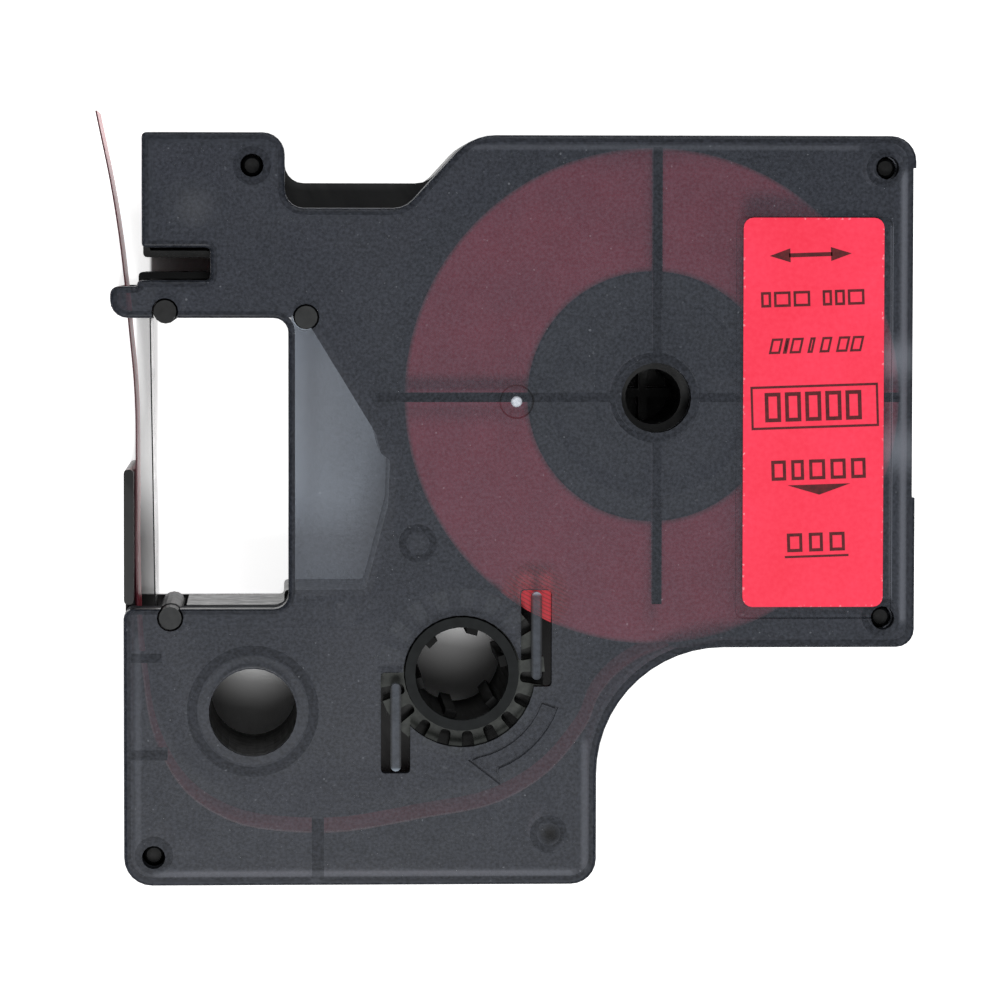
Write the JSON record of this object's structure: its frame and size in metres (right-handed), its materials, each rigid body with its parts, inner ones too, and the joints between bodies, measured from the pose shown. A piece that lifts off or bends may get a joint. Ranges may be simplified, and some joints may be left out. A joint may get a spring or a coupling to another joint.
{
  "type": "label tape cassette",
  "caption": "Flat translucent cassette holding a spool of red label tape and ink film, with a splined take-up hub, sprung reverse stops, a print-head window and a free tape end.",
  "frame": {"origin": "centre of the whole object's box, on the rear shell's flat underside", "axes": "+Z out of the front cover, +X towards the label side, +Y towards the end the tape leaves from"},
  "size_m": [0.0614, 0.058, 0.017],
  "materials": {
    "cover_smoke": "smoke-tinted translucent moulded plastic, satin",
    "rear_black": "glossy black moulded plastic",
    "label_red": "printed self-adhesive label, satin",
    "tape_red": "laminated red tape wound with black film",
    "ink_film_black": "thin glossy film",
    "core_grey": "moulded, satin",
    "hub_black": "moulded, satin",
    "finger_smoke": "smoke-tinted translucent moulded plastic",
    "post_grey": "moulded, satin",
    "pin_black": "moulded, satin"
  },
  "bodies": {
    "case": {"front_cover": "cover_smoke", "rear_shell": "rear_black", "info_label": "label_red", "tape_web": "tape_red", "ink_film": "ink_film_black", "upper_inner_guide_post": "post_grey", "upper_outer_guide_post": "post_grey", "lower_outer_guide_post": "post_grey", "takeup_guide_post": "post_grey", "joining_pin_1": "pin_black", "joining_pin_2": "pin_black", "joining_pin_3": "pin_black", "joining_pin_4": "pin_black", "joining_pin_5": "pin_black", "joining_pin_6": "pin_black"},
    "takeup": {"takeup_hub": "hub_black", "ratchet_wheel": "hub_black", "spent_film_roll": "ink_film_black"},
    "spool": {"tape_core": "core_grey", "tape_roll": "tape_red"},
    "left_stop": {"left_reverse_stop": "finger_smoke"},
    "right_stop": {"right_reverse_stop": "finger_smoke"}
  },
  "joints": [
    {"name": "ribbon_takeup_spin", "type": "hinge", "parent": "case", "child": "takeup", "pos_m": [-0.00329, -0.01315, 0.0085], "axis": [0, 0, 1], "continuous": true},
    {"name": "tape_spool_spin", "type": "hinge", "parent": "case", "child": "spool", "pos_m": [0.01123, 0.00755, 0.0085], "axis": [0, 0, 1], "continuous": true},
    {"name": "left_stop_flex", "type": "hinge", "parent": "case", "child": "left_stop", "pos_m": [-0.00825, -0.02005, 0.0163], "axis": [0, 0, 1], "range_deg": [0, 4], "stiffness_Nm_per_rad": 0.002},
    {"name": "right_stop_flex", "type": "hinge", "parent": "case", "child": "right_stop", "pos_m": [0.00231, -0.0074, 0.0163], "axis": [0, 0, 1], "range_deg": [0, 4], "stiffness_Nm_per_rad": 0.002}
  ],
  "couplings": [
    {"joint": "tape_spool_spin", "follows": "ribbon_takeup_spin", "ratio": 0.2933}
  ]
}
